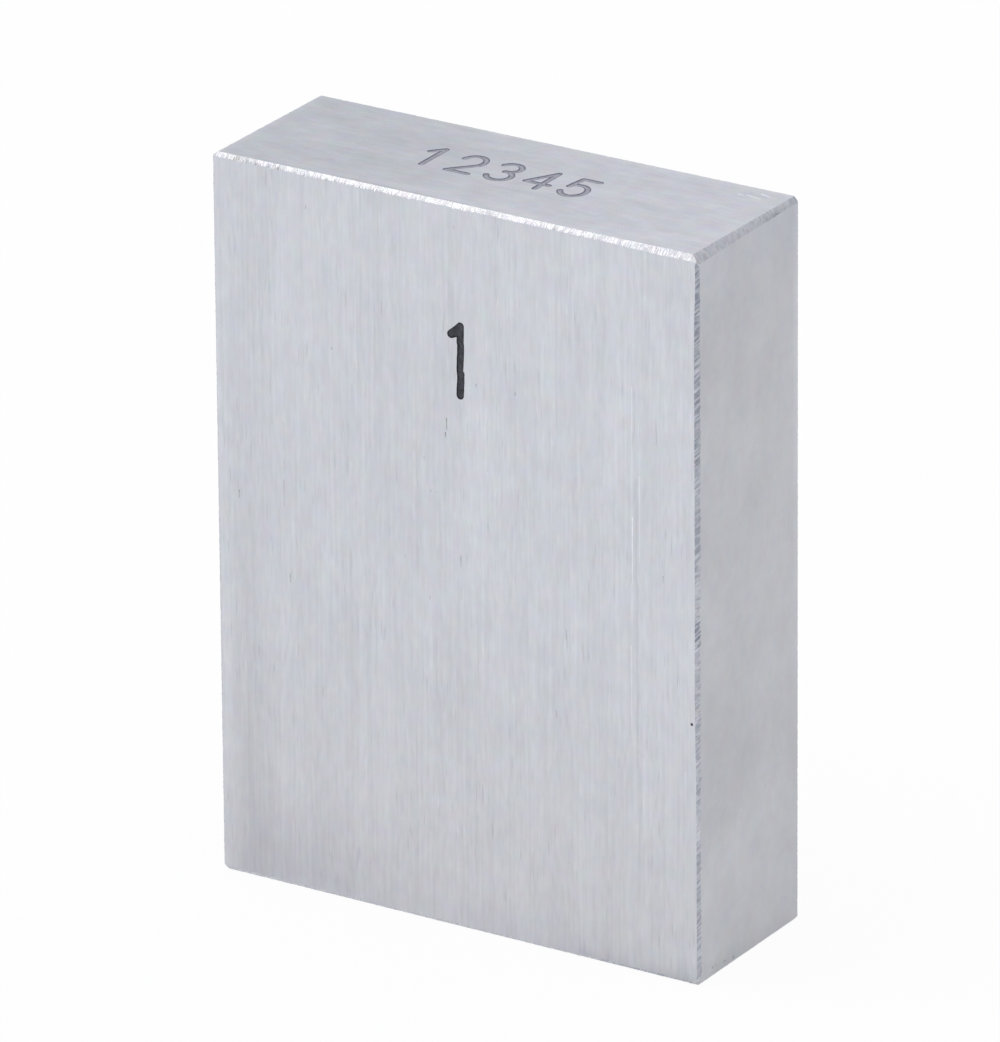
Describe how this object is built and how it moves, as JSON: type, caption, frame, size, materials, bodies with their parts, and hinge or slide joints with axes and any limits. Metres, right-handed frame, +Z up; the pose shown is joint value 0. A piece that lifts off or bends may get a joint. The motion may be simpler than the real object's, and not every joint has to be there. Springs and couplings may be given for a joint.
{
  "type": "gauge block",
  "caption": "Rectangular steel gauge block: a length standard with two lapped, parallel measuring faces, ground sides and hand-stoned edges.",
  "frame": {"origin": "centre of the narrow ground face that the block stands on", "axes": "+X along the gauge length, square to the right measuring face; +Y from the marked side face to the plain one; +Z up the wide side of the section"},
  "size_m": [0.0254, 0.0088, 0.035],
  "materials": {
    "steel": "hardened steel, lapped on the measuring faces and finely ground on the other four"
  },
  "bodies": {
    "root": {"gauge_block": "steel"}
  },
  "joints": []
}
